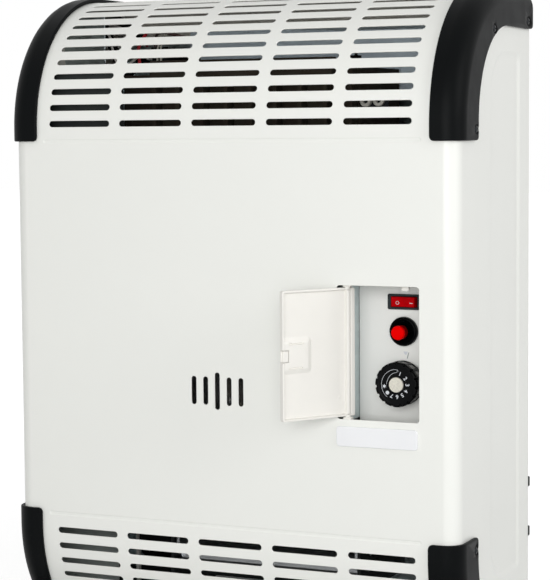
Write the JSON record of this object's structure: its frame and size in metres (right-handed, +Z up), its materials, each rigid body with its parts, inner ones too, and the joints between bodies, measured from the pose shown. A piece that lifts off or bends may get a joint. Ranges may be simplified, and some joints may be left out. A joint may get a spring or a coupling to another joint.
{
  "type": "wall mounted gas heater",
  "caption": "Wall hung gas convector in a louvred white casing with black corner trims, a hinged control flap, gas train, fan and wall flue.",
  "frame": {"origin": "the wall side of the wall plate, behind the middle of the casing's height and width", "axes": "+Z up, the front faces -Y, the wall lies at Y = 0, +X is to the right of someone who faces the heater"},
  "size_m": [0.4722, 0.3129, 0.6092],
  "materials": {
    "white_enamel": "smooth white powder coat on sheet steel",
    "white_plastic": "satin white moulded plastic",
    "black_plastic": "satin black moulded plastic",
    "black_screw": "blackened steel",
    "rubber": "matt black rubber",
    "grey_enamel": "satin pale grey paint",
    "red_plastic": "glossy red plastic",
    "cream_plastic": "matt cream plastic",
    "aluminium": "die cast and drawn aluminium",
    "brass": "machined brass",
    "steel": "bare and aluminised steel",
    "cast_iron": "rough dark brown casting",
    "glass": "clear heat resistant glass",
    "ceramic": "glazed white ceramic",
    "galvanised": "blue grey galvanised sheet",
    "red_lead": "red insulated wire"
  },
  "bodies": {
    "heater": {"casing": "white_enamel", "badge_plate": "white_plastic", "door_stop_clip": "white_plastic", "door_hinge_upper": "white_plastic", "door_hinge_lower": "white_plastic", "terminal_block": "white_plastic", "trim_top_right": "black_plastic", "trim_top_left": "black_plastic", "trim_bottom_right": "black_plastic", "trim_bottom_left": "black_plastic", "rocker_switch": "black_plastic", "piezo_igniter": "black_plastic", "fan_motor": "black_plastic", "limit_thermostat": "black_plastic", "fan_thermostat": "black_plastic", "trim_screw_top_right_1": "black_screw", "trim_screw_top_right_2": "black_screw", "trim_screw_top_right_3": "black_screw", "trim_screw_top_left_1": "black_screw", "trim_screw_top_left_2": "black_screw", "trim_screw_top_left_3": "black_screw", "trim_screw_bottom_right_1": "black_screw", "trim_screw_bottom_right_2": "black_screw", "trim_screw_bottom_left_1": "black_screw", "trim_screw_bottom_left_2": "black_screw", "wall_buffer_right_1": "rubber", "wall_buffer_right_2": "rubber", "wall_buffer_left_1": "rubber", "wall_buffer_left_2": "rubber", "ignition_lead": "rubber", "cable_gland": "rubber", "control_panel": "grey_enamel", "gas_valve": "aluminium", "burner_feed_pipe": "aluminium", "pilot_pipe": "aluminium", "gas_inlet_nut": "brass", "pilot_burner": "brass", "thermocouple": "brass", "gas_inlet_pipe": "steel", "combustion_cover": "steel", "window_ring": "steel", "main_burner": "steel", "exhaust_pipe": "steel", "heat_exchanger": "cast_iron", "window_glass": "glass", "ignition_electrode": "ceramic", "air_duct": "galvanised", "air_intake_pipe": "galvanised", "rear_panel": "galvanised", "wall_plate": "galvanised", "fan_housing": "galvanised", "thermostat_lead": "red_lead"},
    "door": {"door": "white_plastic"},
    "door_latch": {"door_latch": "white_plastic"},
    "rocker": {"switch_rocker": "red_plastic"},
    "piezo_button": {"piezo_button": "red_plastic"},
    "valve_spindle": {"valve_spindle": "brass"},
    "control_knob": {"control_knob": "black_plastic", "knob_cap": "cream_plastic"},
    "fan_wheel": {"fan_wheel": "aluminium"}
  },
  "joints": [
    {"name": "door_hinge", "type": "hinge", "parent": "heater", "child": "door", "pos_m": [0.122, -0.2185, -0.03285], "axis": [0, 0, 1], "range_deg": [0, 124]},
    {"name": "latch_slide", "type": "slide", "parent": "door", "child": "door_latch", "axis": [0.5592, 0.829, 0], "range_m": [0, 0.003], "stiffness_N_per_m": 300, "springref_m": -0.001},
    {"name": "rocker_tilt", "type": "hinge", "parent": "heater", "child": "rocker", "pos_m": [0.1645, -0.1819, 0.0118], "axis": [0, 0, 1], "range_deg": [0, 12]},
    {"name": "igniter_press", "type": "slide", "parent": "heater", "child": "piezo_button", "axis": [0, 1, 0], "range_m": [0, 0.008], "stiffness_N_per_m": 600, "springref_m": -0.002},
    {"name": "knob_press", "type": "slide", "parent": "heater", "child": "valve_spindle", "axis": [0, 1, 0], "range_m": [0, 0.0044], "stiffness_N_per_m": 900, "springref_m": -0.002},
    {"name": "knob_turn", "type": "hinge", "parent": "valve_spindle", "child": "control_knob", "pos_m": [0.1645, -0.2, -0.063], "axis": [0, -1, 0], "range_deg": [-131, 202]},
    {"name": "fan_spin", "type": "hinge", "parent": "heater", "child": "fan_wheel", "pos_m": [0, -0.105, -0.245], "axis": [1, 0, 0], "continuous": true}
  ]
}
